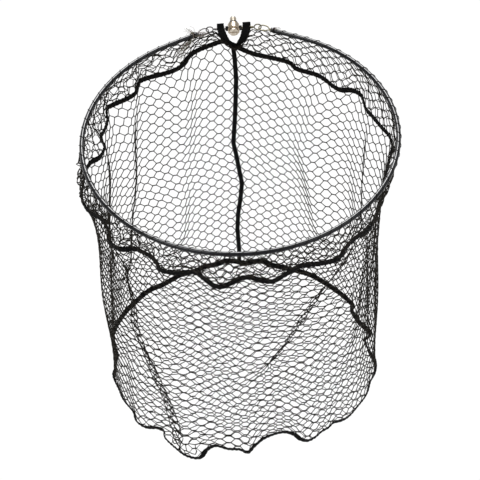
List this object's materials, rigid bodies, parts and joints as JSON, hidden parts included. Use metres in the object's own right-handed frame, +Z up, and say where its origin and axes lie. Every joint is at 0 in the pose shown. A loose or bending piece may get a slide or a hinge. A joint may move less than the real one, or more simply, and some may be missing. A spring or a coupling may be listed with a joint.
{
  "type": "round landing net head",
  "caption": "Round net head: a tubular hoop with a deep open-mesh bag and a swinging fitting with a threaded stud for a handle.",
  "frame": {"origin": "centre of the hoop, on the middle line of its tube", "axes": "+Z up out of the bag's mouth, +Y to the fitting at the back, +X to the right seen from the front"},
  "size_m": [0.6028, 0.6353, 0.6388],
  "materials": {
    "hoop_coating": "satin",
    "plug_plastic": "matt",
    "wire_steel": "polished wire",
    "fitting_metal": "champagne anodised",
    "nut_dark": "black oxide",
    "stud_brass": "turned",
    "net_twine": "knitted mesh",
    "binding_tape": "woven tape",
    "lashing": "twisted cord"
  },
  "bodies": {
    "hoop": {"hoop_tube": "hoop_coating", "end_plug_left": "plug_plastic", "end_plug_right": "plug_plastic", "bail_left": "wire_steel", "bail_right": "wire_steel", "lashing_cord": "lashing", "collar_net": "net_twine", "collar_tape": "binding_tape", "body_net": "net_twine", "rear_tape": "binding_tape", "mouth_strap_left": "binding_tape", "mouth_strap_right": "binding_tape"},
    "bag_base": {"bottom_net": "net_twine", "bottom_tape": "binding_tape"},
    "fitting": {"fitting_hub": "fitting_metal", "arm_eye_left": "wire_steel", "arm_eye_right": "wire_steel", "arm_nut_left": "nut_dark", "arm_nut_right": "nut_dark"},
    "stud": {"handle_stud": "stud_brass", "stud_washer": "wire_steel", "stud_nut": "nut_dark"}
  },
  "joints": [
    {"name": "bag_gather", "type": "slide", "parent": "hoop", "child": "bag_base", "axis": [0, 0, 1], "range_m": [0, 0.42]},
    {"name": "fitting_swing", "type": "hinge", "parent": "hoop", "child": "fitting", "pos_m": [0, 0.30428, 0], "axis": [1, 0, 0], "range_deg": [-40, 40]},
    {"name": "stud_turn", "type": "hinge", "parent": "fitting", "child": "stud", "pos_m": [0, 0.30428, 0], "axis": [0, 1, 0], "continuous": true}
  ]
}
